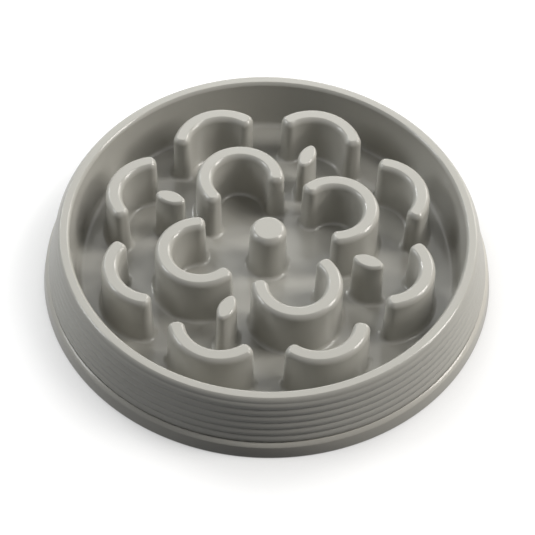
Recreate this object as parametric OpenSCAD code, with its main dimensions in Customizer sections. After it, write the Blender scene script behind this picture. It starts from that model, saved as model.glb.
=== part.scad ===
// Slow feeder bowl: a round pet bowl whose floor carries a maze of standing ridges.
// Millimetres, +Z up, origin on the table at the middle of the bowl. Ridges stand on the X and Y axes.

/* [Bowl] */
// Diameter of the base ring where it meets the table
base_d = 250; // [215:1:320]
// Height of the rim above the table
rim_h = 39; // [34:0.5:60]
// Width of the rim, from the skirt to the inner wall
rim_w = 6.9; // [6.2:0.1:9]
// Rounding of the rim's outer edge
rim_outer_r = 2.1; // [1:0.1:3]
// Rounding of the rim's inner edge
rim_inner_r = 2.8; // [1:0.1:3]
// Thickness of the moulded walls and floor
wall_t = 2.8; // [2.2:0.1:3]
// Height of the floor's upper face above the table
floor_h = 6.5; // [6:0.1:12]
// Lean of the inner wall, in degrees from upright
wall_lean = 5; // [2:0.5:8]
// Rounding between the inner wall and the floor
floor_r = 4; // [2:0.1:6]

/* [Skirt] */
// Width of the base ring's ledge, from the table edge in to the skirt
ledge_w = 3.5; // [3:0.1:6]
// How far the skirt comes in on its way up from the base ring to the rim
skirt_taper_w = 5.8; // [0:0.1:10]
// Number of rounded bands round the skirt
band_count = 6; // [3:1:9]
// Height of each band's bulge
bulge_h = 0.45; // [0.1:0.05:0.8]

/* [Base ring] */
// Height of the base ring
ring_h = 9.5; // [7:0.1:12]
// Thickness of the ring under the skirt's edge
ring_floor_t = 2.2; // [1.2:0.1:2.6]
// Thickness of the ring's inner lip
ring_lip_t = 2.4; // [1.5:0.1:4]
// Height of the ring's inner lip
ring_lip_h = 5.6; // [4:0.1:6]
// Inward lean of the ring's outer face, over its height
ring_lean_w = 1.2; // [0:0.1:1.5]
// Rounding of the ring's upper edge
ring_edge_r = 2.1; // [0.5:0.1:3]

/* [Ridges] */
// Drop of the ridge tops below the rim
ridge_drop = 1.3; // [0.5:0.1:10]
// Width of a ridge just under its rounded top
ridge_w = 9.4; // [8.4:0.1:10]
// Rounding of the ridge and post tops
ridge_top_r = 3.6; // [0.5:0.1:3.7]
// Rounding of the leaf posts' tops
leaf_top_r = 2.1; // [0.5:0.1:2.6]
// Rounding of the upright corners at a ridge's ends, at the top
ridge_corner_r = 4; // [3.8:0.1:4.1]
// Rounding where a ridge meets the floor
ridge_foot_r = 2.6; // [1:0.1:3]
// Draft of the ridge sides, in degrees
ridge_draft = 1.4; // [0.5:0.1:2]
// Wall left round the hollow under a ridge
ridge_wall_t = 2.4; // [2:0.1:2.8]

/* [Maze] */
// Gap between the outer ridges and the rounding at the floor's edge
edge_gap = 6.7; // [5:0.1:9]
// Distance from the middle to an inner ridge's arc centre, as a share of the flat floor's radius
inner_ring_share = 0.392; // [0.37:0.001:0.41]
// Arc radius of an inner ridge, as a share of the flat floor's radius
inner_arc_share = 0.1965; // [0.17:0.0005:0.205]
// Half of the angle that an inner ridge spans
inner_half_angle = 107; // [60:1:112]
// Arc radius of an outer ridge, as a share of the flat floor's radius
outer_arc_share = 0.2288; // [0.215:0.0001:0.24]
// Half of the angle that an outer ridge spans
outer_half_angle = 56.5; // [40:0.5:59]
// Distance from the middle to a leaf post, as a share of the flat floor's radius
leaf_ring_share = 0.573; // [0.56:0.001:0.59]
// Length of a leaf post under its rounded top, as a share of the flat floor's radius
leaf_len_share = 0.168; // [0.14:0.001:0.175]
// Width of a leaf post, as a share of its length
leaf_w_share = 0.558; // [0.48:0.001:0.62]
// Diameter of the centre post under its rounded top, as a share of the flat floor's radius
post_share = 0.1945; // [0.14:0.0005:0.24]

/* [Hidden] */
$fn = 96;

// Drop of the hollow rim's roof below the top of the rim
rim_roof_t = 4.2;
// Rounding of the ring's lower edge
ring_foot_r = 0.6;
// Side clearance between the skirt's lower edge and the ring's groove
groove_gap = 0.15;
// Length cut from each sharp tip of a leaf post
leaf_tip_cut = 0.9;
// How far the pegs at a ridge's ends lie inside its sides
peg_inset_t = 0.04;
// Steps along each rounded edge
round_steps = 5;
// Steps along each band of the skirt
band_steps = 6;
// Angle at which a foot rounding starts, short of a feather edge
foot_start = 15;

inner_count = 4;
outer_count = 8;
leaf_count = 4;
base_r = base_d / 2;
skirt_r = base_r - ledge_w;
rim_r = skirt_r - skirt_taper_w;
half_ridge_w = ridge_w / 2;
ridge_h = rim_h - ridge_drop - floor_h;
skirt_top_z = rim_h - rim_outer_r;
skirt_in_r = skirt_r - wall_t;
skirt_lean = atan((skirt_r - rim_r) / (skirt_top_z - ring_h));
flat_floor_r = inner_wall_r(floor_h + floor_r) - floor_r / cos(wall_lean);

inner_ring_r = flat_floor_r * inner_ring_share;
inner_arc_r = flat_floor_r * inner_arc_share;
outer_arc_r = flat_floor_r * outer_arc_share;
outer_ring_r = flat_floor_r - edge_gap - half_ridge_w - outer_arc_r;
leaf_ring_r = flat_floor_r * leaf_ring_share;
leaf_len = flat_floor_r * leaf_len_share;
leaf_w = leaf_len * leaf_w_share;
post_r = flat_floor_r * post_share / 2;

shell_color = [0.56, 0.55, 0.52];
ring_color = [0.50, 0.49, 0.46];

// Points on an arc about [cx, cz], from angle a0 to angle a1
function arc(cx, cz, r, a0, a1, steps) =
    [for (i = [0:steps]) let (a = a0 + (a1 - a0) * i / steps) [cx + r * cos(a), cz + r * sin(a)]];

// Radius of the bowl's inner wall at height z, before its edges are rounded
function inner_wall_r(z) = rim_r - rim_w - (rim_h - z) * tan(wall_lean);

// Radius of the skirt's inner face at height z above the base ring
function skirt_inner_r(z) = rim_r + (skirt_top_z - z) * tan(skirt_lean) - wall_t / cos(skirt_lean);

// Skirt from the base ring up to the rim: a row of shallow bulges with a groove between each two
function skirt_bands() = [
    for (b = [0:band_count - 1])
        for (i = [(b == 0 ? 0 : 1):band_steps])
            let (
                t = (b + i / band_steps) / band_count,
                bulge = bulge_h * sin(180 * i / band_steps)
            )
            [skirt_r + (rim_r - skirt_r) * t + bulge * cos(skirt_lean),
             ring_h + (skirt_top_z - ring_h) * t + bulge * sin(skirt_lean)]
];

// How far a ridge's side leans out at height z above the floor, against its width under the rounded top
function draft_at(z) = (ridge_h - ridge_top_r - z) * tan(ridge_draft);

// Side of a ridge or post from its foot to its top, where reach is its half width under a ridge's rounded top
function ridge_side(reach, top_r) =
    let (foot_x = reach + draft_at(0), top_x = reach + draft_at(ridge_h - top_r))
    concat(
        [[foot_x + ridge_foot_r * (1 - sin(foot_start)), 0]],
        arc(foot_x + ridge_foot_r, ridge_foot_r, ridge_foot_r, 270 - foot_start, 180, round_steps),
        arc(top_x - top_r, ridge_h - top_r, top_r, 0, 90, round_steps));

// Side of the hollow under a ridge, from below the floor to its roof
function hollow_side(reach) =
    [[reach + draft_at(-floor_h), -floor_h], [reach, ridge_h - ridge_wall_t]];

// Closed half section: a side and the axis that it turns about
function half_section(side) =
    concat([[0, side[0][1]]], side, [[0, side[len(side) - 1][1]]]);

// Closed full section: a side and its mirror image, both moved out by half the core's width
function full_section(side, core) = concat(
    [for (p = side) [p[0] + core, p[1]]],
    [for (i = [len(side) - 1:-1:0]) [-side[i][0] - core, side[i][1]]]);

// Wall in section: skirt, rim, inner wall and its rounding, and the open space between skirt and wall
module wall_section() {
    rim_arc_x = inner_wall_r(rim_h - rim_inner_r) + rim_inner_r / cos(wall_lean);
    floor_arc_z = floor_h + floor_r;
    roof_z = rim_h - rim_roof_t;
    polygon(concat(
        [[skirt_r, ring_floor_t]],
        skirt_bands(),
        arc(rim_r - rim_outer_r, skirt_top_z, rim_outer_r, 90 / round_steps, 90, round_steps - 1),
        arc(rim_arc_x, rim_h - rim_inner_r, rim_inner_r, 90, 180 - wall_lean, round_steps),
        arc(flat_floor_r, floor_arc_z, floor_r, -wall_lean, -90, round_steps),
        arc(flat_floor_r, floor_arc_z, floor_r + wall_t, -90, -wall_lean, round_steps),
        [[inner_wall_r(roof_z) + wall_t / cos(wall_lean), roof_z],
         [skirt_inner_r(roof_z), roof_z],
         [skirt_in_r, ring_h],
         [skirt_in_r, ring_floor_t]]));
}

// Blunt end of a curved wall: a peg that is flat across the wall, with round upright corners
module wall_end(side, core) {
    translate([-core, 0, 0])
        rotate([90, 0, 90])
            linear_extrude(2 * core)
                polygon(full_section(side, 0));
    for (s = [0, 1])
        mirror([s, 0, 0])
            translate([core, 0, 0])
                rotate([0, 0, -90])
                    rotate_extrude(angle = 180)
                        polygon(half_section(side));
}

// Curved wall about the origin that spans half_angle to both sides of the X axis
module curved_wall(arc_r, half_angle, side, core) {
    rotate([0, 0, -half_angle])
        rotate_extrude(angle = 2 * half_angle)
            translate([arc_r, 0])
                polygon(full_section(side, core));
    for (s = [0, 1])
        mirror([0, s, 0])
            rotate([0, 0, half_angle])
                translate([arc_r, 0, 0])
                    wall_end([for (p = side) [p[0] - peg_inset_t, p[1]]], core);
}

// Solid form of a petal, standing on the floor
module petal_body(arc_r, half_angle) {
    curved_wall(arc_r, half_angle, ridge_side(ridge_corner_r, ridge_top_r), half_ridge_w - ridge_corner_r);
}

// Hollow under a petal, open through the floor
module petal_hollow(arc_r, half_angle) {
    core = (half_ridge_w - ridge_wall_t) / 2;
    curved_wall(arc_r, half_angle, hollow_side(core), core);
}

// Side of a leaf post, or of the hollow under it, where reach is the post's half width
function leaf_side(reach, hollow) = hollow ? hollow_side(reach - ridge_wall_t) : ridge_side(reach, leaf_top_r);

// Leaf between two large arcs, with its tips cut round
module leaf_form(hollow) {
    half_w = leaf_w / 2;
    sharp_len = leaf_len / 2 + leaf_tip_cut;
    arc_r = (sharp_len * sharp_len + half_w * half_w) / (2 * half_w);
    intersection() {
        translate([0, arc_r - half_w, 0])
            turned_form(leaf_side(arc_r, hollow));
        translate([0, half_w - arc_r, 0])
            turned_form(leaf_side(arc_r, hollow));
        turned_form(leaf_side(leaf_len / 2, hollow));
    }
}

// Round form with the given side: a post, or the hollow under one
module turned_form(side) {
    rotate_extrude()
        polygon(half_section(side));
}

// Puts copy number index of count on a ring about the middle, standing on the floor
module on_ring(index, count, ring_r, turn) {
    rotate([0, 0, turn + index * 360 / count])
        translate([ring_r, 0, floor_h])
            children();
}

// All the hollows that open through the floor from below
module floor_openings() {
    translate([0, 0, floor_h])
        turned_form(hollow_side(post_r - ridge_wall_t));
    for (i = [0:inner_count - 1])
        on_ring(i, inner_count, inner_ring_r, 0)
            petal_hollow(inner_arc_r, inner_half_angle);
    for (i = [0:outer_count - 1])
        on_ring(i, outer_count, outer_ring_r, 0)
            petal_hollow(outer_arc_r, outer_half_angle);
    for (i = [0:leaf_count - 1])
        on_ring(i, leaf_count, leaf_ring_r, 180 / leaf_count)
            leaf_form(true);
}

// Rim, inner wall and banded skirt, with the rounding that leads down to the floor
module bowl_wall() {
    color(shell_color)
        rotate_extrude()
            wall_section();
}

// Flat floor inside the wall's rounding, open under every ridge and post
module bowl_floor() {
    color(shell_color)
        difference() {
            translate([0, 0, floor_h - wall_t])
                cylinder(h = wall_t, r = flat_floor_r);
            floor_openings();
        }
}

// Non-slip ring with a groove that takes the skirt's lower edge
module base_ring() {
    groove_out_r = skirt_r + groove_gap;
    groove_in_r = skirt_in_r - groove_gap;
    top_r = base_r - ring_lean_w;
    edge_r = min(ring_edge_r, top_r - groove_out_r);
    color(ring_color)
        rotate_extrude()
            polygon(concat(
                arc(base_r - ring_foot_r, ring_foot_r, ring_foot_r, -90, 0, round_steps),
                arc(top_r - edge_r, ring_h - edge_r, edge_r, 0, 90, round_steps),
                [[groove_out_r, ring_h],
                 [groove_out_r, ring_floor_t],
                 [groove_in_r, ring_floor_t],
                 [groove_in_r, ring_lip_h],
                 [groove_in_r - ring_lip_t, ring_lip_h],
                 [groove_in_r - ring_lip_t, 0]]));
}

// Round post in the middle of the floor
module center_post() {
    color(shell_color)
        translate([0, 0, floor_h])
            difference() {
                turned_form(ridge_side(post_r, ridge_top_r));
                turned_form(hollow_side(post_r - ridge_wall_t));
            }
}

// Horseshoe ridge of the inner ring, open towards the middle
module inner_petal(index) {
    color(shell_color)
        on_ring(index, inner_count, inner_ring_r, 0)
            difference() {
                petal_body(inner_arc_r, inner_half_angle);
                petal_hollow(inner_arc_r, inner_half_angle);
            }
}

// Shallower arc ridge of the outer ring, open towards the middle
module outer_petal(index) {
    color(shell_color)
        on_ring(index, outer_count, outer_ring_r, 0)
            difference() {
                petal_body(outer_arc_r, outer_half_angle);
                petal_hollow(outer_arc_r, outer_half_angle);
            }
}

// Leaf-shaped post between two inner petals, its length along the bowl's radius
module leaf_post(index) {
    color(shell_color)
        on_ring(index, leaf_count, leaf_ring_r, 180 / leaf_count)
            difference() {
                leaf_form(false);
                leaf_form(true);
            }
}

bowl_wall();
bowl_floor();
base_ring();
center_post();
inner_petal(0);  // inner_petal_1
inner_petal(1);  // inner_petal_2
inner_petal(2);  // inner_petal_3
inner_petal(3);  // inner_petal_4
outer_petal(0);  // outer_petal_1
outer_petal(1);  // outer_petal_2
outer_petal(2);  // outer_petal_3
outer_petal(3);  // outer_petal_4
outer_petal(4);  // outer_petal_5
outer_petal(5);  // outer_petal_6
outer_petal(6);  // outer_petal_7
outer_petal(7);  // outer_petal_8
leaf_post(0);  // leaf_post_1
leaf_post(1);  // leaf_post_2
leaf_post(2);  // leaf_post_3
leaf_post(3);  // leaf_post_4
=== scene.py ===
import math

import bmesh
import bpy
import numpy as np
from mathutils import Matrix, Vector
from mathutils.geometry import delaunay_2d_cdt


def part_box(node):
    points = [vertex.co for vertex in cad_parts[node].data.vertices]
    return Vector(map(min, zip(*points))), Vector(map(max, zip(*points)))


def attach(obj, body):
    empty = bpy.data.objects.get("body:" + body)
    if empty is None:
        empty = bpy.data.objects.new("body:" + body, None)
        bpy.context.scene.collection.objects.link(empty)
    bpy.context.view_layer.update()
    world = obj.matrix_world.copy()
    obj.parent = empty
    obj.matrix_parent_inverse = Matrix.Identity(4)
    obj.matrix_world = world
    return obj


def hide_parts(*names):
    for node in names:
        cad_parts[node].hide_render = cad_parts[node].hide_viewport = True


bl_info = {
    "name": "Slow feeder bowl",
    "version": (1, 0, 0),
    "blender": (4, 5, 0),
    "location": "View3D > Sidebar > Bowl",
    "description": "Builds the glossy look of a slow feeder bowl round its packed solids",
    "category": "Object",
}

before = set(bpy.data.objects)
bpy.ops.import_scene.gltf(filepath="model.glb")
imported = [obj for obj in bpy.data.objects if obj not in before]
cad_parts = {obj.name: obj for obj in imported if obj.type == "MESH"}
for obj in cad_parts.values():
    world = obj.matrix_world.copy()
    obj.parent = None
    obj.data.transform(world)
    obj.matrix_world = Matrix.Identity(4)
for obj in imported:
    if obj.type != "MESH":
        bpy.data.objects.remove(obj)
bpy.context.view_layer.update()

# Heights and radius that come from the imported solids
BASE_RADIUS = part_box("base_ring")[1][0]
SHELL_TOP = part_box("bowl_wall")[1][2]
RIDGE_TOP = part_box("center_post")[1][2]
FLOOR_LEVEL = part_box("center_post")[0][2]
RIDGE_HEIGHT = RIDGE_TOP - FLOOR_LEVEL
BOWL_MIDDLE = SHELL_TOP / 2

# Camera, fitted to the bowl's outlines in the photo: pixels, radians and metres, the sensor in millimetres
PHOTO_WIDTH = 535
FOCAL_LENGTH = 1885.3076
CAMERA_TURN = math.radians(-24.15)
CAMERA_RISE = 0.89942093
CAMERA_YAW, CAMERA_PITCH, CAMERA_ROLL = -0.00018112, 0.00175961, -0.02901929
CAMERA_DISTANCE = 1.0625
SENSOR_WIDTH = 36.0

ROUND = 2 * math.pi
QUARTER = math.pi / 2

# How many of each form stand round the centre post, and by what part of a step the leaf posts are turned
INNER_PETALS, OUTER_PETALS, LEAF_POSTS = 4, 8, 4
LEAF_TURN_SHARE = 0.5

# How finely the shapes are cut
BOWL_TURNS, POST_TURNS = 384, 128
INNER_STEPS, OUTER_STEPS, LEAF_STEPS = 96, 64, 36
CORNER_STEPS, LEAF_TIP_STEPS = 8, 9
BAND_STEPS, EDGE_STEPS, RING_EDGE_STEPS = 12, 12, 10
CREASE_STEPS, SMALL_CREASE_STEPS = 6, 4
RIDGE_FOOT_STEPS, RING_FOOT_STEPS = 10, 6
ROUNDING_STEPS, UNDER_ROUNDING_STEPS = 12, 8
SIDE_ROWS = 8
SIDE_END_SHARE, WALL_START_SHARE = 0.96, 0.02

# Small lengths that keep the meshes clean, and the least angle of a sharp edge
FOOT_SINK = 1e-5
FLAT_HOLD = 0.0006
WELD = 2e-7
SLIVER = 1e-7
SAME_SPOT = 1e-8
SHARP = math.radians(38.0)

# How many digits the panel shows of a length
DIGITS = 5

# Lamps: name, degrees from straight behind the bowl to the right, and the names of their height and tint
LAMPS = (
    ("far_left", 315, "middle", "cool"),
    ("far", 0, "middle", "cool"),
    ("far_high", 0, "high", "cool"),
    ("far_right", 45, "middle", "warm"),
    ("low_right", 45, "low", "warm"),
    ("right", 90, "middle", "warm"),
    ("right_high", 90, "high", "warm"),
    ("left", 270, "middle", "cool"),
)


def length(label, words, default):
    """Property for a length in metres."""
    return bpy.props.FloatProperty(
        name=label,
        description=words,
        default=default,
        min=0.0,
        unit="LENGTH",
        subtype="DISTANCE",
        precision=DIGITS,
    )


def angle(label, words, degrees):
    """Property for an angle, given in degrees and kept in radians."""
    return bpy.props.FloatProperty(
        name=label, description=words, default=math.radians(degrees), unit="ROTATION", subtype="ANGLE"
    )


def amount(label, words, default, **more):
    """Property for a plain number from 0 up."""
    return bpy.props.FloatProperty(name=label, description=words, default=default, min=0.0, **more)


def share(label, words, default):
    """Property for a number from 0 to 1."""
    return amount(label, words, default, max=1.0)


def power(label, words, default):
    """Property for a lamp's power in watts."""
    return amount(label, words, default, unit="POWER")


def whole(label, words, default):
    """Property for a whole number of like things."""
    return bpy.props.IntProperty(name=label, description=words, default=default, min=1)


def colour(label, words, default):
    """Property for a colour, as linear red, green and blue."""
    return bpy.props.FloatVectorProperty(
        name=label, description=words, default=default, size=3, subtype="COLOR", min=0.0, max=1.0
    )


class BowlSizes(bpy.types.PropertyGroup):
    """Sizes of the bowl's moulded body."""

    rim_d: length("Rim diameter", "Outer diameter of the rim", 0.2314)
    rim_w: length("Rim width", "Width of the rim from the skirt to the inner wall", 0.0069)
    rim_h: length("Rim height", "Height of the rim above the table", SHELL_TOP)
    rim_outer_w: length("Outer rim edge width", "How far the rim's bowed outer edge reaches in", 0.0020)
    rim_outer_h: length("Outer rim edge height", "How far the rim's bowed outer edge reaches down", 0.0028)
    rim_inner_w: length("Inner rim edge width", "How far the rim's bowed inner edge reaches in", 0.0014)
    rim_inner_h: length("Inner rim edge height", "How far the rim's bowed inner edge reaches down", 0.0019)
    rim_outer_bow: angle("Outer rim edge bow", "How far the outer edge bows out from a straight bevel", 24.0)
    rim_inner_bow: angle("Inner rim edge bow", "How far the inner edge bows out from a straight bevel", 16.0)
    rim_roof: length("Rim roof", "Depth of the moulded roof over the hollow rim", 0.0042)
    wall: length("Wall thickness", "Thickness of the moulded walls and floor", 0.0028)
    wall_lean: angle("Inner wall lean", "Lean of the inner wall from upright", 5.0)
    floor_h: length("Floor height", "Height of the floor's upper face", FLOOR_LEVEL)
    floor_r: length("Floor rounding", "Rounding between the inner wall and the floor", 0.004)
    skirt_d: length("Skirt diameter", "Diameter of the skirt where it meets the base ring", 0.243)
    bands: whole("Bands", "Number of bands round the skirt", 6)
    band_bulge: length("Band bulge", "Height of each band's bulge", 0.0007)
    skirt_foot: length("Skirt edge", "Height of the skirt's lower edge in the ring's groove", 0.0022)


class RingSizes(bpy.types.PropertyGroup):
    """Sizes of the soft ring under the skirt."""

    ring_h: length("Ring height", "Height of the base ring", 0.0095)
    lean: length("Ring lean", "Inward lean of the ring's outer face over its height", 0.0012)
    edge_w: length("Upper edge width", "How far the ring's bowed upper edge reaches in", 0.0019)
    edge_h: length("Upper edge height", "How far the ring's bowed upper edge reaches down", 0.0019)
    edge_bow: angle("Upper edge bow", "How far the ring's upper edge bows out from a straight bevel", 14.0)
    foot_r: length("Lower edge", "Rounding of the ring's lower edge", 0.0006)
    lip_t: length("Lip thickness", "Thickness of the ring's inner lip", 0.0024)
    lip_h: length("Lip height", "Height of the ring's inner lip", 0.0056)
    gap: length("Groove gap", "Clearance on each side of the skirt's edge in the groove", 0.00015)


class MazeSizes(bpy.types.PropertyGroup):
    """Sizes of the ridges and posts that stand on the floor."""

    ridge_w: length("Ridge width", "Width of a ridge just under its top edge", 0.0094)
    top_w: length("Top edge width", "How far the bowed edge of a ridge top reaches in", 0.0022)
    top_h: length("Top edge height", "How far the bowed edge of a ridge top reaches down", 0.0033)
    top_bow: angle("Top edge bow", "How far the edge of a ridge top bows out from a straight bevel", 28.0)
    crease: length("Creases", "How far the small rounding of each crease reaches", 0.0002)
    corner_r: length("End corners", "Rounding of the upright corners at a ridge's ends", 0.004)
    foot_r: length("Foot rounding", "Rounding where a ridge meets the floor", 0.0026)
    draft: angle("Draft", "Draft of the ridge sides", 1.4)
    skin: length("Ridge wall", "Wall left round the hollow under a ridge", 0.0024)
    inner_ring: length("Inner ring", "Distance from the middle to an inner ridge's arc centre", 0.0401)
    inner_arc: length("Inner arc", "Arc radius of an inner ridge", 0.0201)
    inner_half: angle("Inner half angle", "Half of the angle that an inner ridge spans", 108.0)
    outer_ring: length("Outer ring", "Distance from the middle to an outer ridge's arc centre", 0.0675)
    outer_arc: length("Outer arc", "Arc radius of an outer ridge", 0.0234)
    outer_half: angle("Outer half angle", "Half of the angle that an outer ridge spans", 56.5)
    leaf_ring: length("Leaf ring", "Distance from the middle to each leaf post", 0.0586)
    leaf_len: length("Leaf length", "Length of a leaf post under its top edge", 0.0172)
    leaf_w: length("Leaf width", "Width of a leaf post under its top edge", 0.0096)
    leaf_tip_r: length("Leaf tips", "Rounding of a leaf post's two tips", 0.0028)
    leaf_top: amount("Leaf top edge", "Leaf posts' top edge as a share of the ridges'", 0.62)
    post_top: amount("Post top edge", "Centre post's top edge as a share of the ridges'", 1.22)
    post_d: length("Post diameter", "Diameter of the centre post under its top edge", 0.0204)


class Finish(bpy.types.PropertyGroup):
    """Colours and gloss of the two materials."""

    plastic: colour("Plastic", "Warm grey of the moulding", (0.408, 0.400, 0.3695))
    plastic_rough: share("Plastic roughness", "Roughness of the moulding's gloss", 0.34)
    coat: share("Gloss skin", "Strength of the moulding's clear glossy skin", 0.55)
    broad_gloss: share("Broad gloss", "Strength of the broad gloss under that skin", 0.25)
    ring_coat: share("Ring gloss", "Strength of the ring's clear glossy skin", 0.35)
    coat_rough: share("Gloss skin roughness", "Roughness of the clear glossy skin", 0.08)
    ring: colour("Ring", "Warm grey of the soft base ring", (0.484, 0.470, 0.431))
    ring_rough: share("Ring roughness", "Roughness of the soft ring", 0.32)
    rough_swing: share("Roughness swing", "Share by which the roughness varies up and down", 0.1)
    mottling: share("Mottling", "Share by which the moulding's colour varies", 0.02)
    ring_mottling: share("Ring mottling", "Share by which the ring's colour varies", 0.03)
    mottling_scale: amount("Mottling scale", "How often colour and gloss vary in a metre", 26.0)
    mottling_detail: amount("Mottling detail", "Finer layers in the mottling", 3.0)
    grain: share("Grain", "Strength of the moulding's fine grain", 0.06)
    ring_grain: share("Ring grain", "Strength of the ring's fine grain", 0.12)
    grain_scale: amount("Grain scale", "How often the fine grain repeats in a metre", 900.0)
    grain_detail: amount("Grain detail", "Finer layers in the grain", 2.0)
    grain_h: length("Grain height", "Height of the fine grain at full strength", 0.00005)


class Studio(bpy.types.PropertyGroup):
    """Lamps, floor and backdrop."""

    floor_reach: length("Floor reach", "How far the floor reaches each way from the middle", 4.0)
    floor: colour("Floor", "Colour of the pale floor as the camera sees it", (0.4, 0.4, 0.4))
    bounce: colour("Floor bounce", "Colour of the floor as it lights the bowl", (0.12, 0.12, 0.12))
    glow: amount("Floor glow", "White of the floor round the bowl, dimmer close to it", 0.76)
    near: length("Near floor", "Distance from the middle at which the floor's white starts to rise", 0.8)
    # Reach of the painted shade that darkens the floor's added white round the bowl
    shade: length("Floor shade", "How far the soft shade round the bowl reaches", 0.035)
    reach: length("Lamp distance", "Distance of the lamps from the bowl's middle", 1.6)
    lamp_size: length("Lamp size", "Side of each square lamp but the high one behind", 0.52)
    panel_size: length("High far lamp size", "Side of the square lamp high behind the bowl", 1.3)
    low: angle("Low lamps", "Height above level of the low lamp", 12.0)
    middle: angle("Middle lamps", "Height above level of the lamps between the low and the high ones", 32.0)
    high: angle("High lamps", "Height above level of the high lamps", 55.0)
    far_left: power("Far left lamp", "Power of the lamp behind on the left", 10.2)
    far: power("Far lamp", "Power of the lamp behind", 5.3)
    far_high: power("High far lamp", "Power of the high lamp behind", 3.0)
    far_right: power("Far right lamp", "Power of the lamp behind on the right", 7.8)
    low_right: power("Low far right lamp", "Power of the low lamp behind on the right", 2.9)
    right: power("Right lamp", "Power of the lamp on the right", 12.6)
    right_high: power("High right lamp", "Power of the high lamp on the right", 7.0)
    left: power("Left lamp", "Power of the lamp on the left", 6.7)
    warm: colour("Warm lamps", "Colour of the lamps on the right", (1.0, 0.975, 0.93))
    cool: colour("Cool lamps", "Colour of the lamps on the left and behind", (0.985, 1.0, 0.995))
    sky: amount("Sky", "Light of the surroundings", 0.01)


# Shapes, as whole arrays


def unit(a):
    """Unit vectors at the angles: cos a, sin a."""
    return np.column_stack((np.cos(a), np.sin(a)))


def arc(cx, cz, r, start, end, steps):
    """Arc in the section plane: the centre plus r cos a, r sin a, where a goes in equal steps from start to
    end, both in degrees."""
    a = np.radians(np.linspace(start, end, steps + 1))
    return np.column_stack((cx + r * np.cos(a), cz + r * np.sin(a)))


def bowed(start, end, bow, steps):
    """Shallow arc from a start to an end, which turns left by twice the bow along its way: its radius is the
    chord over 2 sin bow."""
    chord = np.subtract(end, start)
    way = math.atan2(chord[1], chord[0]) - QUARTER
    a = np.linspace(way - bow, way + bow, steps + 1)
    radius = np.hypot(*chord) / (2 * math.sin(bow))
    return np.asarray(start) + radius * (unit(a) - unit(a[:1]))


def eased(before, corner, after, reach, steps):
    """Small parabola round a corner, from a point on the line before it to a point on the line after it:
    (1 - t)^2 a + 2 t (1 - t) corner + t^2 b."""
    a, b = (corner + reach * (p - corner) / np.hypot(*(p - corner)) for p in (before, after))
    t = np.linspace(0, 1, steps + 1)[:, None]
    return (1 - t) ** 2 * a + 2 * t * (1 - t) * corner + t**2 * b


def quads(rows, columns, first=0, close_rows=False):
    """Faces of a grid of points, row after row, that closes round its columns and, if asked, its rows."""
    r = np.arange(rows if close_rows else rows - 1)[:, None]
    c = np.arange(columns)[None, :]
    here, right = r * columns + c, r * columns + (c + 1) % columns
    up = ((r + 1) % rows) * columns
    faces = np.stack((here, right, up + (c + 1) % columns, up + c), axis=-1)
    return faces.reshape(-1, 4) + first


def turned(profile):
    """Surface of revolution: each profile point (radius, height) goes round as radius cos a, radius sin a,
    height. The result holds one row of points for each profile point."""
    a = np.arange(BOWL_TURNS) * ROUND / BOWL_TURNS
    points = np.empty((len(profile), BOWL_TURNS, 3))
    points[..., 0] = profile[:, :1] * np.cos(a)
    points[..., 1] = profile[:, :1] * np.sin(a)
    points[..., 2] = profile[:, 1:]
    return points


def strip_outline(arc_r, half, core, steps):
    """Outline of a thin arc strip and its outward directions. Along the arcs the direction is the radius.
    At each of the four corners the point stands still while the direction turns by a quarter."""
    run = np.linspace(-half, half, steps + 1)
    turn = np.linspace(0, QUARTER, CORNER_STEPS + 2)
    far, near = arc_r + core, arc_r - core

    def corner(radius, at, ways):
        return radius * unit(np.full(len(ways), at)), unit(ways)

    parts = [
        (far * unit(run), unit(run)),
        corner(far, half, half + turn[1:]),
        corner(near, half, half + QUARTER + turn[:-1]),
        (near * unit(run[::-1]), -unit(run[::-1])),
        corner(near, -half, math.pi - half + turn[1:]),
        corner(far, -half, -half - QUARTER + turn[:-1]),
    ]
    return tuple(np.concatenate(part) for part in zip(*parts))


def leaf_outline(long, wide, tip_r):
    """Outline of a sharp lens between two arcs, inset by the tip rounding, and its outward directions. Along
    an arc the direction is its radius, and at each tip the point stands still while the direction turns."""
    a, b = long / 2 - tip_r, wide / 2 - tip_r
    radius = (a * a + b * b) / (2 * b)
    half = math.asin(a / radius)
    run = np.linspace(half, -half, LEAF_STEPS + 1)
    upper_way = np.column_stack((np.sin(run), np.cos(run)))
    upper = radius * upper_way - [0, radius - b]
    tip = np.linspace(QUARTER + half, 3 * QUARTER - half, LEAF_TIP_STEPS + 2)[1:-1]
    left = np.tile([-a, 0.0], (LEAF_TIP_STEPS, 1))
    points = np.concatenate((upper, left, -upper, -left))
    ways = np.concatenate((upper_way, unit(tip), -upper_way, -unit(tip)))
    return points, ways


def raised(points, ways, side):
    """Surface round an outline: each side point (reach, height) moves it out by reach and up by height."""
    flat = points[None] + side[:, :1, None] * ways[None]
    height = np.broadcast_to(side[:, 1][:, None, None], flat.shape[:2] + (1,))
    return np.concatenate((flat, height), axis=-1).reshape(-1, 3)


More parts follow.
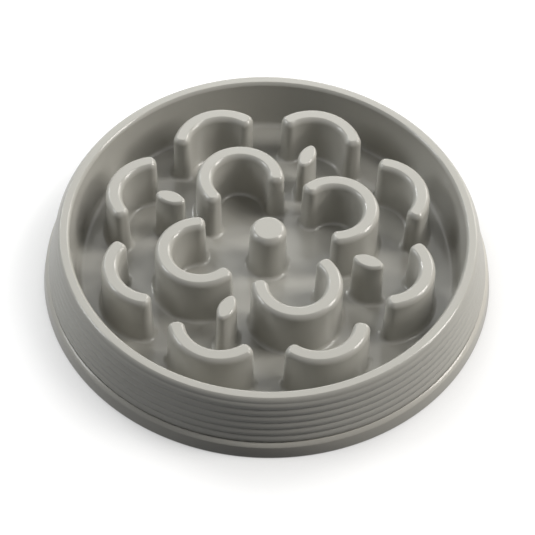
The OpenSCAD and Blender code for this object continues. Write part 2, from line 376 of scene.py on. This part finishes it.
def ridge_side(reach, maze, edge_share):
    """Side of a form from the floor to its flat top: a foot arc tangent to a straight side that leans in by
    the draft as it rises, and a bowed edge with eased creases. Reach is how far the side stands out just
    under that edge, and the share sizes the edge against the ridges' own."""
    draft, foot_r, height = maze.draft, maze.foot_r, RIDGE_HEIGHT
    crease, high_crease = maze.crease, maze.crease * edge_share
    top_w, top_z = maze.top_w * edge_share, height - maze.top_h * edge_share
    foot_x = reach + (top_z - foot_r) * math.tan(draft)
    foot_centre = foot_x + foot_r / math.cos(draft)
    foot = arc(foot_centre, foot_r, foot_r, 270, 180 + math.degrees(draft), RIDGE_FOOT_STEPS)
    edge = bowed((reach, top_z), (reach - top_w, height), maze.top_bow, EDGE_STEPS)
    flat = np.array([edge[-1, 0] / 2, height])
    low = eased(foot[-1], edge[0], edge[2], crease, SMALL_CREASE_STEPS)
    high = eased(edge[-3], edge[-1], flat, high_crease, CREASE_STEPS)
    middle = foot[-1] + np.linspace(0, SIDE_END_SHARE, SIDE_ROWS)[1:, None] * (low[0] - foot[-1])
    foot[0, 1] -= FOOT_SINK
    # Each easing replaces two rows of the edge, and a row just inside it keeps the top's shading flat
    hold = np.array([[high[-1, 0] - high_crease, height], [0.0, height]])
    return np.concatenate((foot, middle, low, edge[2:-2], high, hold))


def hollow_reach(slim, maze, level):
    """How far a hollow's side stands out at a level above the floor: its least reach plus the draft's lean
    over the height from there to the foot of the top edge."""
    return slim + (RIDGE_HEIGHT - maze.top_h - level) * math.tan(maze.draft)


def hollow_side(slim, maze):
    """Side of the hollow under a form: a straight line that leans in from the floor up to the flat roof."""
    roof = RIDGE_HEIGHT - maze.skin
    return np.array([[hollow_reach(slim, maze, -FOOT_SINK), -FOOT_SINK], [slim, roof], [0.0, roof]])


def placed(points, ring_r, turn):
    """Points moved out to the ring and turned about the axis: x cos a - y sin a, x sin a + y cos a."""
    c, s = math.cos(turn), math.sin(turn)
    x, y = points[:, 0] + ring_r, points[:, 1]
    out = points.copy()
    out[:, 0], out[:, 1] = c * x - s * y, s * x + c * y
    return out


# From arrays to pieces of the scene


def piece(name, points, faces, material, stands_for):
    """Makes a piece's mesh, welds its seams, turns its faces outwards and shades it smooth up to its sharp
    edges, then sets it on the body it rides on and hides the solids it stands for."""
    mesh = bpy.data.meshes.new(name)
    mesh.from_pydata(points.tolist(), [], faces)
    work = bmesh.new()
    work.from_mesh(mesh)
    bmesh.ops.remove_doubles(work, verts=work.verts, dist=WELD)
    bmesh.ops.dissolve_degenerate(work, edges=work.edges, dist=SLIVER)
    bmesh.ops.recalc_face_normals(work, faces=work.faces)
    open_edges = sum(1 for e in work.edges if not e.is_manifold)
    work.to_mesh(mesh)
    work.free()
    if open_edges:
        raise RuntimeError(f"{name} has {open_edges} open edges")
    mesh.polygons.foreach_set("use_smooth", np.ones(len(mesh.polygons), dtype=bool))
    mesh.set_sharp_from_angle(angle=SHARP)
    mesh.materials.append(material)
    thing = bpy.data.objects.new(name, mesh)
    bpy.context.collection.objects.link(thing)
    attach(thing, "root")
    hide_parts(*stands_for)


def sizes():
    """The sizes of the bowl, the ring and the maze."""
    scene = bpy.context.scene
    return scene.bowl_sizes, scene.ring_sizes, scene.maze_sizes


def outline_of(kind):
    """Outline of a kind of form with its outward directions, the same two for its hollow, and how far the
    form's side and the hollow's side stand out from them. The post is a point with directions all round."""
    maze = sizes()[2]
    if kind == "leaf":
        outline = leaf_outline(maze.leaf_len, maze.leaf_w, maze.leaf_tip_r)
        return outline, outline, maze.leaf_tip_r, maze.leaf_tip_r - maze.skin
    if kind == "post":
        ways = unit(np.arange(POST_TURNS) * ROUND / POST_TURNS)
        outline = np.zeros_like(ways), ways
        return outline, outline, maze.post_d / 2, maze.post_d / 2 - maze.skin
    if kind == "inner":
        arc_r, half, steps = maze.inner_arc, maze.inner_half, INNER_STEPS
    else:
        arc_r, half, steps = maze.outer_arc, maze.outer_half, OUTER_STEPS
    core = maze.ridge_w / 2 - maze.corner_r
    # A strip's hollow has one half of its half width as its core and the other half as its side's reach
    slim = (maze.ridge_w / 2 - maze.skin) / 2
    outline, hollow = (strip_outline(arc_r, half, inset, steps) for inset in (core, slim))
    return outline, hollow, maze.corner_r, slim


def cap(kind, row):
    """Faces that close the flat top of a strip or a leaf, straight across from the long side that its
    outline starts with to the other, which runs backwards. Row is the number of the top's first point."""
    if kind == "leaf":
        steps, end = LEAF_STEPS, LEAF_TIP_STEPS
    else:
        steps, end = INNER_STEPS if kind == "inner" else OUTER_STEPS, 2 * (CORNER_STEPS + 1)
    far = 2 * steps + 1 + end
    i = np.arange(steps)
    return (np.stack((i, i + 1, far - i - 1, far - i), axis=-1) + row).tolist()


def standing_form(kind):
    """One form at the origin: its outside from foot to top and its hollow from the floor to its roof, as one
    closed surface whose lower edges are joined by a flat band."""
    bowl, _, maze = sizes()
    (points, ways), (slim_points, slim_ways), reach, slim = outline_of(kind)
    edge_share = {"leaf": maze.leaf_top, "post": maze.post_top}.get(kind, 1.0)
    side, inside = ridge_side(reach, maze, edge_share), hollow_side(slim, maze)
    count = len(points)
    outer, inner = raised(points, ways, side), raised(slim_points, slim_ways, inside)
    faces = quads(len(side), count).tolist() + quads(len(inside), count, len(outer)).tolist()
    here = np.arange(count)
    after = (here + 1) % count
    faces += np.stack((here, after, after + len(outer), here + len(outer)), axis=-1).tolist()
    if kind != "post":
        faces += cap(kind, len(outer) - count) + cap(kind, len(outer) + len(inner) - count)
    return np.concatenate((outer, inner)) + [0, 0, bowl.floor_h], faces


def form_places():
    """Name, kind, ring radius and turn of each form: a post in the middle and rings of equal steps."""
    maze = sizes()[2]
    places = [("center_post", "post", 0.0, 0.0)]
    for name, kind, ring_r, count, first in (
        ("inner_petal", "inner", maze.inner_ring, INNER_PETALS, 0.0),
        ("outer_petal", "outer", maze.outer_ring, OUTER_PETALS, 0.0),
        ("leaf_post", "leaf", maze.leaf_ring, LEAF_POSTS, LEAF_TURN_SHARE),
    ):
        places += [(f"{name}_{i + 1}", kind, ring_r, (i + first) * ROUND / count) for i in range(count)]
    return places


def floor_slots(level):
    """Outlines, at a height above the table, of the hollows that open through the floor."""
    bowl, _, maze = sizes()
    loops = []
    for _, kind, ring_r, turn in form_places():
        _, (points, ways), _, slim = outline_of(kind)
        reach = hollow_reach(slim, maze, level - bowl.floor_h)
        loops.append(placed(points + reach * ways, ring_r, turn))
    return loops


def plate(level, outer_loop, loops):
    """Flat plate with holes: a constrained triangulation of the outer loop and the hole loops, where the
    triangles that lie in a hole are left out."""
    every = [outer_loop] + loops
    starts = np.cumsum([0] + [len(loop) for loop in every])
    rings = [list(range(start, end)) for start, end in zip(starts, starts[1:])]
    flat = np.concatenate(every).tolist()
    inside_only = 1
    points, _, triangles, _, _, origins = delaunay_2d_cdt(flat, [], rings, inside_only, SAME_SPOT)
    kept = [list(t) for t, source in zip(triangles, origins) if list(source) == [0]]
    return np.array([[x, y, level] for x, y in points]), kept


def skirt_lean(bowl, ring):
    """Lean of the skirt from upright: its tangent is how far the skirt comes in over how high it goes."""
    return math.atan2(bowl.skirt_d / 2 - bowl.rim_d / 2, bowl.rim_h - bowl.rim_outer_h - ring.ring_h)


def skirt_line(bowl, ring):
    """Skirt from the base ring to the rim: a straight lean plus one half sine wave for each band."""
    low, high = bowl.skirt_d / 2, bowl.rim_d / 2
    rise = bowl.rim_h - bowl.rim_outer_h - ring.ring_h
    lean = skirt_lean(bowl, ring)
    t = np.linspace(0, 1, bowl.bands * BAND_STEPS + 1)
    bulge = bowl.band_bulge * np.abs(np.sin(math.pi * bowl.bands * t))
    reach = low + (high - low) * t + bulge * math.cos(lean)
    height = ring.ring_h + rise * t + bulge * math.sin(lean)
    return np.column_stack((reach, height))


def rim_line(bowl, wall_r, crease):
    """Rim from the skirt's top over to the inner wall: a bowed edge, a flat top and another bowed edge, with
    the creases at both ends of the flat top eased."""
    rim_r, top = bowl.rim_d / 2, bowl.rim_h
    low = top - bowl.rim_inner_h
    inside = wall_r(low)
    outer_ends = (rim_r, top - bowl.rim_outer_h), (rim_r - bowl.rim_outer_w, top)
    inner_ends = (inside + bowl.rim_inner_w, top), (inside, low)
    outer = bowed(*outer_ends, bowl.rim_outer_bow, EDGE_STEPS)
    inner = bowed(*inner_ends, bowl.rim_inner_bow, EDGE_STEPS)
    first = eased(outer[-3], outer[-1], inner[0], crease, CREASE_STEPS)
    second = eased(outer[-1], inner[0], inner[2], crease, CREASE_STEPS)
    hold = np.array([[first[-1, 0] - crease, top], [second[0, 0] + crease, top]])
    return np.concatenate((outer[1:-2], first, hold, second, inner[3:]))


def shell_profile():
    """Closed section of the moulding without its floor plate: skirt, rim, inner wall, floor rounding and the
    open space between wall and skirt. It begins and ends where the floor turns flat."""
    bowl, ring, maze = sizes()
    wall, floor_r = bowl.wall, bowl.floor_r
    lean = math.degrees(bowl.wall_lean)
    slope, scale = math.tan(bowl.wall_lean), 1 / math.cos(bowl.wall_lean)
    rim_r, skirt_r = bowl.rim_d / 2, bowl.skirt_d / 2

    def wall_r(z):
        return rim_r - bowl.rim_w - (bowl.rim_h - z) * slope

    corner_z = bowl.floor_h + floor_r
    corner_x = wall_r(corner_z) - floor_r * scale
    roof = bowl.rim_h - bowl.rim_roof
    over_roof = bowl.rim_h - bowl.rim_outer_h - roof
    skirt_tilt = skirt_lean(bowl, ring)
    inner_skirt = rim_r + over_roof * math.tan(skirt_tilt) - wall / math.cos(skirt_tilt)
    rim = rim_line(bowl, wall_r, maze.crease)
    rounding = arc(corner_x, corner_z, floor_r, -lean, -90, ROUNDING_STEPS)
    shares = np.linspace(WALL_START_SHARE, 1, SIDE_ROWS)[:-1, None]
    parts = (
        [[corner_x - FLAT_HOLD, bowl.floor_h - wall]],
        arc(corner_x, corner_z, floor_r + wall, -90, -lean, UNDER_ROUNDING_STEPS),
        [[wall_r(roof) + wall * scale, roof], [inner_skirt, roof], [skirt_r - wall, ring.ring_h]],
        [[skirt_r - wall, bowl.skirt_foot], [skirt_r, bowl.skirt_foot]],
        skirt_line(bowl, ring),
        rim,
        rim[-1] + shares * (rounding[0] - rim[-1]),
        rounding,
        [[corner_x - FLAT_HOLD, bowl.floor_h]],
    )
    return np.concatenate(parts)


def ring_profile():
    """Closed section of the ring: a rounded lower edge, a leaning outer face, a bowed upper edge with eased
    creases, the groove for the skirt's edge and the inner lip."""
    bowl, ring, maze = sizes()
    groove_out = bowl.skirt_d / 2 + ring.gap
    groove_in = bowl.skirt_d / 2 - bowl.wall - ring.gap
    lip = groove_in - ring.lip_t
    top = BASE_RADIUS - ring.lean
    edge_ends = (top, ring.ring_h - ring.edge_h), (top - ring.edge_w, ring.ring_h)
    edge = bowed(*edge_ends, ring.edge_bow, RING_EDGE_STEPS)
    side_foot, flat = np.array([BASE_RADIUS, ring.foot_r]), np.array([groove_out, ring.ring_h])
    parts = (
        arc(BASE_RADIUS - ring.foot_r, ring.foot_r, ring.foot_r, -90, 0, RING_FOOT_STEPS),
        eased(side_foot, edge[0], edge[2], maze.crease, SMALL_CREASE_STEPS),
        edge[2:-2],
        eased(edge[-3], edge[-1], flat, maze.crease / 2, SMALL_CREASE_STEPS),
        [flat, [groove_out, bowl.skirt_foot], [groove_in, bowl.skirt_foot]],
        [[groove_in, ring.lip_h], [lip, ring.lip_h], [lip, 0.0]],
    )
    return np.concatenate(parts)


# Materials


def fill(node, values):
    """Gives each named or numbered socket its value: another node's output is linked, the rest is set."""
    for socket, value in values.items():
        if isinstance(value, bpy.types.NodeSocket):
            node.id_data.links.new(value, node.inputs[socket])
        else:
            node.inputs[socket].default_value = value


def add_node(tree, kind, values, **traits):
    """New shader node of a kind, with its traits and the values on its sockets."""
    node = tree.nodes.new(f"ShaderNode{kind}")
    for trait, setting in traits.items():
        setattr(node, trait, setting)
    fill(node, values)
    return node


def noise(tree, place, scale, detail):
    """Soft noise over the place, as a number."""
    return add_node(tree, "TexNoise", {"Vector": place, "Scale": scale, "Detail": detail}).outputs["Fac"]


def plastic_material(name, tint, rough, coat, mottling, grain):
    """Moulded plastic: the tint with a faint slow variation, a slight change of roughness and a fine grain
    as bump."""
    finish = bpy.context.scene.finish
    material = bpy.data.materials.new(name)
    material.use_nodes = True
    tree = material.node_tree
    place = add_node(tree, "TexCoord", {}).outputs["Object"]
    slow = noise(tree, place, finish.mottling_scale, finish.mottling_detail)
    fine = noise(tree, place, finish.grain_scale, finish.grain_detail)
    dark, light = ((*[min(1.0, c * part) for c in tint], 1) for part in (1 - mottling, 1 + mottling))
    shade = add_node(tree, "Mix", {"Factor": slow, "A": dark, "B": light}, data_type="RGBA")
    least, most = rough * (1 - finish.rough_swing), rough * (1 + finish.rough_swing)
    gloss = add_node(tree, "MapRange", {"Value": slow, "To Min": least, "To Max": most})
    bump = add_node(tree, "Bump", {"Height": fine, "Strength": grain, "Distance": finish.grain_h})
    surface = {
        "Base Color": shade.outputs["Result"],
        "Roughness": gloss.outputs["Result"],
        "Normal": bump.outputs["Normal"],
        "Specular IOR Level": finish.broad_gloss,
        "Coat Weight": coat,
        "Coat Roughness": finish.coat_rough,
    }
    fill(tree.nodes["Principled BSDF"], surface)
    return material


def moulding_material():
    """The one plastic of the whole moulding, made when it is first asked for."""
    finish = bpy.context.scene.finish
    look = finish.plastic, finish.plastic_rough, finish.coat, finish.mottling, finish.grain
    name = "warm_grey_moulding"
    return bpy.data.materials.get(name) or plastic_material(name, *look)


def where_seen(tree):
    """Two outputs: one is 1 for the camera's rays alone, and the other for rays of the camera, of
    reflections and through glass, but not for those that light the bowl."""
    rays = add_node(tree, "LightPath", {}).outputs
    indirect = {0: rays["Is Glossy Ray"], 1: rays["Is Transmission Ray"]}
    other = add_node(tree, "Math", indirect, operation="MAXIMUM").outputs["Value"]
    seen = add_node(tree, "Math", {0: rays["Is Camera Ray"], 1: other}, operation="MAXIMUM")
    return rays["Is Camera Ray"], seen.outputs["Value"]


def floor_material(studio):
    """Pale floor that keeps the bowl's shadow. It is seen with a white added, which is darkened close to the
    bowl by ambient occlusion as a painted soft shade round it, rises to the backdrop's far from it, and
    isn't thrown on the bowl. The floor lights the bowl only as its darker bounce colour would."""
    material = bpy.data.materials.new("studio_floor")
    material.use_nodes = True
    tree = material.node_tree
    tree.nodes.remove(tree.nodes["Principled BSDF"])
    by_camera, seen = where_seen(tree)
    dim = add_node(tree, "BsdfDiffuse", {"Color": (*studio.bounce, 1)})
    pale = add_node(tree, "BsdfDiffuse", {"Color": (*studio.floor, 1)})
    surface = add_node(tree, "MixShader", {0: by_camera, 1: dim.outputs["BSDF"], 2: pale.outputs["BSDF"]})
    place = add_node(tree, "TexCoord", {}).outputs["Object"]
    distance = add_node(tree, "VectorMath", {0: place}, operation="LENGTH").outputs["Value"]
    rise = {"From Min": studio.near, "From Max": studio.near * 2, "To Min": studio.glow, "To Max": 1.0}
    level = add_node(tree, "MapRange", {"Value": distance, **rise}).outputs["Result"]
    strength = add_node(tree, "Math", {0: seen, 1: level}, operation="MULTIPLY").outputs["Value"]
    # Painted shade: ambient occlusion darkens the floor's added white close to the bowl, a soft shadow
    # painted round it
    painted_floor_shade = add_node(tree, "AmbientOcclusion", {"Distance": studio.shade}).outputs["Color"]
    white = add_node(tree, "Emission", {"Color": painted_floor_shade, "Strength": strength})
    both = add_node(tree, "AddShader", {0: surface.outputs["Shader"], 1: white.outputs["Emission"]})
    fill(tree.nodes["Material Output"], {"Surface": both.outputs["Shader"]})
    return material


# Floor, backdrop, lamps and camera


def pale_floor(studio):
    """Square floor that the bowl stands on."""
    reach = studio.floor_reach
    corners = [(-reach, -reach, 0), (reach, -reach, 0), (reach, reach, 0), (-reach, reach, 0)]
    mesh = bpy.data.meshes.new("studio_floor")
    mesh.from_pydata(corners, [], [(0, 1, 2, 3)])
    ground = bpy.data.objects.new("studio_floor", mesh)
    bpy.context.collection.objects.link(ground)
    mesh.materials.append(floor_material(studio))


def surroundings(studio):
    """Dim light from all round, with white behind it for the camera and for reflections."""
    world = bpy.data.worlds.new("surroundings")
    world.use_nodes = True
    _, seen = where_seen(world.node_tree)
    level = add_node(world.node_tree, "Math", {0: seen, 1: studio.sky}, operation="MAXIMUM")
    back = {"Color": (1, 1, 1, 1), "Strength": level.outputs["Value"]}
    fill(world.node_tree.nodes["Background"], back)
    bpy.context.scene.world = world


def posed(right, above, back, spot):
    """Matrix whose columns are the X, Y and Z directions and the spot."""
    matrix = np.eye(4)
    matrix[:3] = np.column_stack((right, above, back, spot))
    return Matrix(matrix.tolist())


def in_view(side, depth, height):
    """Spot or direction given by the camera's left to right, near to far and up, in the part's frame:
    x cos a - y sin a, x sin a + y cos a and z, where a is the camera's turn."""
    c, s = math.cos(CAMERA_TURN), math.sin(CAMERA_TURN)
    return np.array([side * c - depth * s, side * s + depth * c, height])


def on_dome(reach, turn, rise):
    """Spot on a dome round the bowl, turned from straight behind it to the right and raised above level:
    reach cos h sin a, reach cos h cos a and reach sin h."""
    level = reach * math.cos(rise)
    return in_view(level * math.sin(turn), level * math.cos(turn), reach * math.sin(rise))


def lamp(name, watts, size, spot, tint):
    """Soft square lamp at a spot. Its Z axis points away from the bowl's middle, its X axis is level and at
    right angles to that, and its light leaves along -Z."""
    data = bpy.data.lights.new(name, "AREA")
    data.shape = "SQUARE"
    data.size = size
    data.energy = watts
    data.color = tint
    thing = bpy.data.objects.new(name, data)
    bpy.context.collection.objects.link(thing)
    away = spot - [0.0, 0.0, BOWL_MIDDLE]
    back = away / np.linalg.norm(away)
    side = np.cross([0.0, 0.0, 1.0], back)
    side /= np.linalg.norm(side)
    thing.matrix_world = posed(side, np.cross(back, side), back, spot)


def turned_about(v, axis, a):
    """Turn of a vector about a unit axis: v cos a + (axis x v) sin a + axis (axis . v) (1 - cos a)."""
    return v * math.cos(a) + np.cross(axis, v) * math.sin(a) + axis * np.dot(axis, v) * (1 - math.cos(a))


def camera_matrix():
    """Camera at its distance and rise, aimed at the origin, then turned a little about its upright axis, its
    level axis and its line of sight."""
    spot = CAMERA_DISTANCE * np.array([0.0, -math.cos(CAMERA_RISE), math.sin(CAMERA_RISE)])
    ahead, right = -spot / CAMERA_DISTANCE, np.array([1.0, 0.0, 0.0])
    above = np.cross(right, ahead)
    ahead, right = turned_about(ahead, above, CAMERA_YAW), turned_about(right, above, CAMERA_YAW)
    ahead, above = turned_about(ahead, right, CAMERA_PITCH), turned_about(above, right, CAMERA_PITCH)
    right, above = turned_about(right, ahead, CAMERA_ROLL), turned_about(above, ahead, CAMERA_ROLL)
    return posed(in_view(*right), in_view(*above), in_view(*-ahead), in_view(*spot))


def photo_camera():
    """Camera that sees the bowl as the photo does: its lens is the sensor's width times the focal length in
    pixels over the photo's width."""
    data = bpy.data.cameras.new("photo_camera")
    data.sensor_fit = "HORIZONTAL"
    data.sensor_width = SENSOR_WIDTH
    data.lens = SENSOR_WIDTH * FOCAL_LENGTH / PHOTO_WIDTH
    camera = bpy.data.objects.new("photo_camera", data)
    bpy.context.collection.objects.link(camera)
    camera.matrix_world = camera_matrix()
    bpy.context.scene.camera = camera


# Pieces and stage, one operator for each group


class BOWL_OT_shell(bpy.types.Operator):
    """Builds the rim, wall, floor and banded skirt, with the slots through the floor"""

    bl_idname = "bowl.shell"
    bl_label = "Bowl shell"

    def execute(self, context):
        bowl = sizes()[0]
        upper, under = bowl.floor_h, bowl.floor_h - bowl.wall
        rows = turned(shell_profile())
        points, faces = rows.reshape(-1, 3), quads(len(rows), BOWL_TURNS).tolist()
        for level, edge in ((upper, rows[-1]), (under, rows[0])):
            flat, triangles = plate(level, edge[:, :2], floor_slots(level))
            faces += (np.array(triangles) + len(points)).tolist()
            points = np.concatenate((points, flat))
        for low, high in zip(floor_slots(under), floor_slots(upper)):
            count = len(low)
            bottom = np.column_stack((low, np.full(count, under)))
            top = np.column_stack((high, np.full(count, upper)))
            faces += quads(2, count, len(points)).tolist()
            points = np.concatenate((points, bottom, top))
        piece("moulded_shell", points, faces, moulding_material(), ("bowl_wall", "bowl_floor"))
        return {"FINISHED"}


class BOWL_OT_maze(bpy.types.Operator):
    """Builds the centre post, the inner and outer ridges and the leaf posts"""

    bl_idname = "bowl.maze"
    bl_label = "Maze"

    def execute(self, context):
        shapes = {kind: standing_form(kind) for kind in ("post", "inner", "outer", "leaf")}
        for node, kind, ring_r, turn in form_places():
            points, faces = shapes[kind]
            points = placed(points, ring_r, turn)
            piece(f"moulded_{node}", points, faces, moulding_material(), (node,))
        return {"FINISHED"}


class BOWL_OT_ring(bpy.types.Operator):
    """Builds the soft ring under the skirt"""

    bl_idname = "bowl.ring"
    bl_label = "Base ring"

    def execute(self, context):
        finish = context.scene.finish
        look = finish.ring, finish.ring_rough, finish.ring_coat, finish.ring_mottling, finish.ring_grain
        rows = turned(ring_profile())
        faces = quads(len(rows), BOWL_TURNS, close_rows=True).tolist()
        material = plastic_material("soft_ring", *look)
        piece("soft_base_ring", rows.reshape(-1, 3), faces, material, ("base_ring",))
        return {"FINISHED"}


class BOWL_OT_stage(bpy.types.Operator):
    """Builds the floor, the surroundings, the lamps and the camera"""

    bl_idname = "bowl.stage"
    bl_label = "Stage"

    def execute(self, context):
        studio = context.scene.studio
        pale_floor(studio)
        surroundings(studio)
        for name, turn, rise, tint in LAMPS:
            size = studio.panel_size if name == "far_high" else studio.lamp_size
            spot = on_dome(studio.reach, math.radians(turn), getattr(studio, rise))
            lamp(f"lamp_{name}", getattr(studio, name), size, spot, getattr(studio, tint))
        photo_camera()
        context.scene.view_settings.view_transform = "Standard"
        return {"FINISHED"}


OPERATORS = (BOWL_OT_shell, BOWL_OT_maze, BOWL_OT_ring, BOWL_OT_stage)
GROUPS = {
    "bowl_sizes": BowlSizes,
    "ring_sizes": RingSizes,
    "maze_sizes": MazeSizes,
    "finish": Finish,
    "studio": Studio,
}


class BOWL_PT_panel(bpy.types.Panel):
    """Sizes, colours and building steps of the bowl"""

    bl_idname = "BOWL_PT_panel"
    bl_label = "Slow feeder bowl"
    bl_space_type = "VIEW_3D"
    bl_region_type = "UI"
    bl_category = "Bowl"

    def draw(self, context):
        for key, group in GROUPS.items():
            box = self.layout.box()
            box.label(text=key.replace("_", " ").capitalize())
            for field in group.__annotations__:
                box.prop(getattr(context.scene, key), field)
        for operator in OPERATORS:
            self.layout.operator(operator.bl_idname)


def register():
    """Makes the sizes, the operators and the panel known to Blender."""
    for group in GROUPS.values():
        bpy.utils.register_class(group)
    for operator in OPERATORS + (BOWL_PT_panel,):
        bpy.utils.register_class(operator)
    for key, group in GROUPS.items():
        setattr(bpy.types.Scene, key, bpy.props.PointerProperty(type=group))


def unregister():
    """Takes them away again, in the opposite order."""
    for key in GROUPS:
        delattr(bpy.types.Scene, key)
    for operator in reversed(OPERATORS + (BOWL_PT_panel,)):
        bpy.utils.unregister_class(operator)
    for group in reversed(list(GROUPS.values())):
        bpy.utils.unregister_class(group)


def main():
    """Builds every piece and the stage."""
    register()
    bpy.ops.bowl.shell()
    bpy.ops.bowl.maze()
    bpy.ops.bowl.ring()
    bpy.ops.bowl.stage()
    bpy.context.view_layer.update()


if __name__ == "__main__":
    main()
